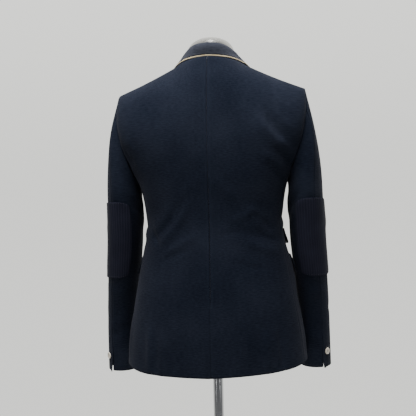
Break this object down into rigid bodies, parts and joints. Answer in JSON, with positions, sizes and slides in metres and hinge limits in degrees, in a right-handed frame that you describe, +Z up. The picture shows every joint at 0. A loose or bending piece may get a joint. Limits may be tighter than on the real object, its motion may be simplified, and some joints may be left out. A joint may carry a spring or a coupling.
{
  "type": "sport coat on a limbless dress form with a stand",
  "caption": "Two-button sport coat with elbow patches, notched lapels and an edged collar, worn by a plain dress form on a pole and round base.",
  "frame": {"origin": "centre of the round base's underside", "axes": "+Z up; the coat's front faces -Y and the wearer's left is +X"},
  "size_m": [0.5321, 0.33, 1.497],
  "materials": {
    "navy_cloth": "matt, soft",
    "ribbed_patch": "matt, fine ribs",
    "tan_edging": "matt",
    "pale_shell": "satin",
    "form_jersey": "matt",
    "chrome": "polished"
  },
  "bodies": {
    "root": {"back_left": "navy_cloth", "back_right": "navy_cloth", "base": "chrome", "collar": "navy_cloth", "collar_edging": "tan_edging", "cuff_button_left": "pale_shell", "cuff_button_right": "pale_shell", "elbow_patch_left": "ribbed_patch", "elbow_patch_right": "ribbed_patch", "form_torso": "form_jersey", "front_button_1": "pale_shell", "front_button_2": "pale_shell", "front_left": "navy_cloth", "front_right": "navy_cloth", "hip_flap_left": "navy_cloth", "hip_flap_right": "navy_cloth", "lapel_left": "navy_cloth", "lapel_right": "navy_cloth", "neck_cap": "chrome", "pole": "chrome", "side_left": "navy_cloth", "side_right": "navy_cloth", "sleeve_top_left": "navy_cloth", "sleeve_top_right": "navy_cloth", "sleeve_under_left": "navy_cloth", "sleeve_under_right": "navy_cloth", "ticket_flap": "navy_cloth"}
  },
  "joints": []
}
